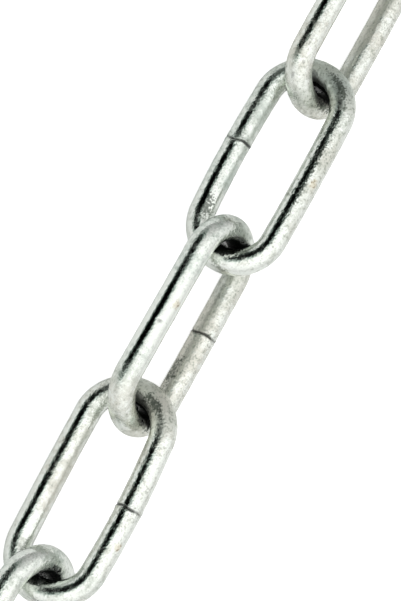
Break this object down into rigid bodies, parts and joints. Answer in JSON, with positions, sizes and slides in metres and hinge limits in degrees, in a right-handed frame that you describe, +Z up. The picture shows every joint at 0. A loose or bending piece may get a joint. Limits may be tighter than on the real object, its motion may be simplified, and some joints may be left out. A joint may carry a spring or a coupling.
{
  "type": "steel chain",
  "caption": "Straight length of long-link welded steel chain, bright zinc plated, its oval links threaded bow through bow and leaning to alternate sides.",
  "frame": {"origin": "on the floor under the middle of the chain", "axes": "+X along the chain, +Y across it, +Z up from the floor it lies on"},
  "size_m": [1.0001, 0.0214, 0.0169],
  "materials": {
    "zinc_plated_steel": "bright zinc plate, slightly mottled, with small stains and nicks"
  },
  "bodies": {
    "link_01": {"link_01": "zinc_plated_steel"},
    "link_02": {"link_02": "zinc_plated_steel"},
    "link_03": {"link_03": "zinc_plated_steel"},
    "link_04": {"link_04": "zinc_plated_steel"},
    "link_05": {"link_05": "zinc_plated_steel"},
    "link_06": {"link_06": "zinc_plated_steel"},
    "link_07": {"link_07": "zinc_plated_steel"},
    "link_08": {"link_08": "zinc_plated_steel"},
    "link_09": {"link_09": "zinc_plated_steel"},
    "link_10": {"link_10": "zinc_plated_steel"},
    "link_11": {"link_11": "zinc_plated_steel"},
    "link_12": {"link_12": "zinc_plated_steel"},
    "link_13": {"link_13": "zinc_plated_steel"},
    "link_14": {"link_14": "zinc_plated_steel"},
    "link_15": {"link_15": "zinc_plated_steel"},
    "link_16": {"link_16": "zinc_plated_steel"},
    "link_17": {"link_17": "zinc_plated_steel"},
    "link_18": {"link_18": "zinc_plated_steel"},
    "link_19": {"link_19": "zinc_plated_steel"},
    "link_20": {"link_20": "zinc_plated_steel"},
    "link_21": {"link_21": "zinc_plated_steel"},
    "link_22": {"link_22": "zinc_plated_steel"},
    "link_23": {"link_23": "zinc_plated_steel"},
    "link_24": {"link_24": "zinc_plated_steel"}
  },
  "joints": [
    {"name": "swing_02", "type": "hinge", "parent": "link_01", "child": "link_02", "pos_m": [-0.44687, 0, 0.0079], "axis": [0, 0.5446, 0.8387], "range_deg": [-90, 90]},
    {"name": "swing_03", "type": "hinge", "parent": "link_02", "child": "link_03", "pos_m": [-0.40574, 0, 0.00842], "axis": [0, -0.6018, 0.7986], "range_deg": [-90, 90]},
    {"name": "swing_04", "type": "hinge", "parent": "link_03", "child": "link_04", "pos_m": [-0.36461, 0, 0.00777], "axis": [0, -0.5299, -0.848], "range_deg": [-90, 90]},
    {"name": "swing_05", "type": "hinge", "parent": "link_04", "child": "link_05", "pos_m": [-0.32348, 0, 0.00764], "axis": [0, 0.515, -0.8572], "range_deg": [-90, 90]},
    {"name": "swing_06", "type": "hinge", "parent": "link_05", "child": "link_06", "pos_m": [-0.28235, 0, 0.00803], "axis": [0, 0.5592, 0.829], "range_deg": [-90, 90]},
    {"name": "swing_07", "type": "hinge", "parent": "link_06", "child": "link_07", "pos_m": [-0.24122, 0, 0.0079], "axis": [0, -0.5446, 0.8387], "range_deg": [-90, 90]},
    {"name": "swing_08", "type": "hinge", "parent": "link_07", "child": "link_08", "pos_m": [-0.20009, 0, 0.00816], "axis": [0, -0.5736, -0.8192], "range_deg": [-90, 90]},
    {"name": "swing_09", "type": "hinge", "parent": "link_08", "child": "link_09", "pos_m": [-0.15896, 0, 0.0079], "axis": [0, 0.5446, -0.8387], "range_deg": [-90, 90]},
    {"name": "swing_10", "type": "hinge", "parent": "link_09", "child": "link_10", "pos_m": [-0.11783, 0, 0.0079], "axis": [0, 0.5446, 0.8387], "range_deg": [-90, 90]},
    {"name": "swing_11", "type": "hinge", "parent": "link_10", "child": "link_11", "pos_m": [-0.0767, 0, 0.00842], "axis": [0, -0.6018, 0.7986], "range_deg": [-90, 90]},
    {"name": "swing_12", "type": "hinge", "parent": "link_11", "child": "link_12", "pos_m": [-0.03556, 0, 0.00777], "axis": [0, -0.5299, -0.848], "range_deg": [-90, 90]},
    {"name": "swing_13", "type": "hinge", "parent": "link_12", "child": "link_13", "pos_m": [0.00556, 0, 0.00764], "axis": [0, 0.515, -0.8572], "range_deg": [-90, 90]},
    {"name": "swing_14", "type": "hinge", "parent": "link_13", "child": "link_14", "pos_m": [0.0467, 0, 0.00803], "axis": [0, 0.5592, 0.829], "range_deg": [-90, 90]},
    {"name": "swing_15", "type": "hinge", "parent": "link_14", "child": "link_15", "pos_m": [0.08783, 0, 0.0079], "axis": [0, -0.5446, 0.8387], "range_deg": [-90, 90]},
    {"name": "swing_16", "type": "hinge", "parent": "link_15", "child": "link_16", "pos_m": [0.12896, 0, 0.00816], "axis": [0, -0.5736, -0.8192], "range_deg": [-90, 90]},
    {"name": "swing_17", "type": "hinge", "parent": "link_16", "child": "link_17", "pos_m": [0.17009, 0, 0.0079], "axis": [0, 0.5446, -0.8387], "range_deg": [-90, 90]},
    {"name": "swing_18", "type": "hinge", "parent": "link_17", "child": "link_18", "pos_m": [0.21122, 0, 0.0079], "axis": [0, 0.5446, 0.8387], "range_deg": [-90, 90]},
    {"name": "swing_19", "type": "hinge", "parent": "link_18", "child": "link_19", "pos_m": [0.25235, 0, 0.00842], "axis": [0, -0.6018, 0.7986], "range_deg": [-90, 90]},
    {"name": "swing_20", "type": "hinge", "parent": "link_19", "child": "link_20", "pos_m": [0.29348, 0, 0.00777], "axis": [0, -0.5299, -0.848], "range_deg": [-90, 90]},
    {"name": "swing_21", "type": "hinge", "parent": "link_20", "child": "link_21", "pos_m": [0.33461, 0, 0.00764], "axis": [0, 0.515, -0.8572], "range_deg": [-90, 90]},
    {"name": "swing_22", "type": "hinge", "parent": "link_21", "child": "link_22", "pos_m": [0.37574, 0, 0.00803], "axis": [0, 0.5592, 0.829], "range_deg": [-90, 90]},
    {"name": "swing_23", "type": "hinge", "parent": "link_22", "child": "link_23", "pos_m": [0.41687, 0, 0.0079], "axis": [0, -0.5446, 0.8387], "range_deg": [-90, 90]},
    {"name": "swing_24", "type": "hinge", "parent": "link_23", "child": "link_24", "pos_m": [0.458, 0, 0.00816], "axis": [0, -0.5736, -0.8192], "range_deg": [-90, 90]}
  ]
}
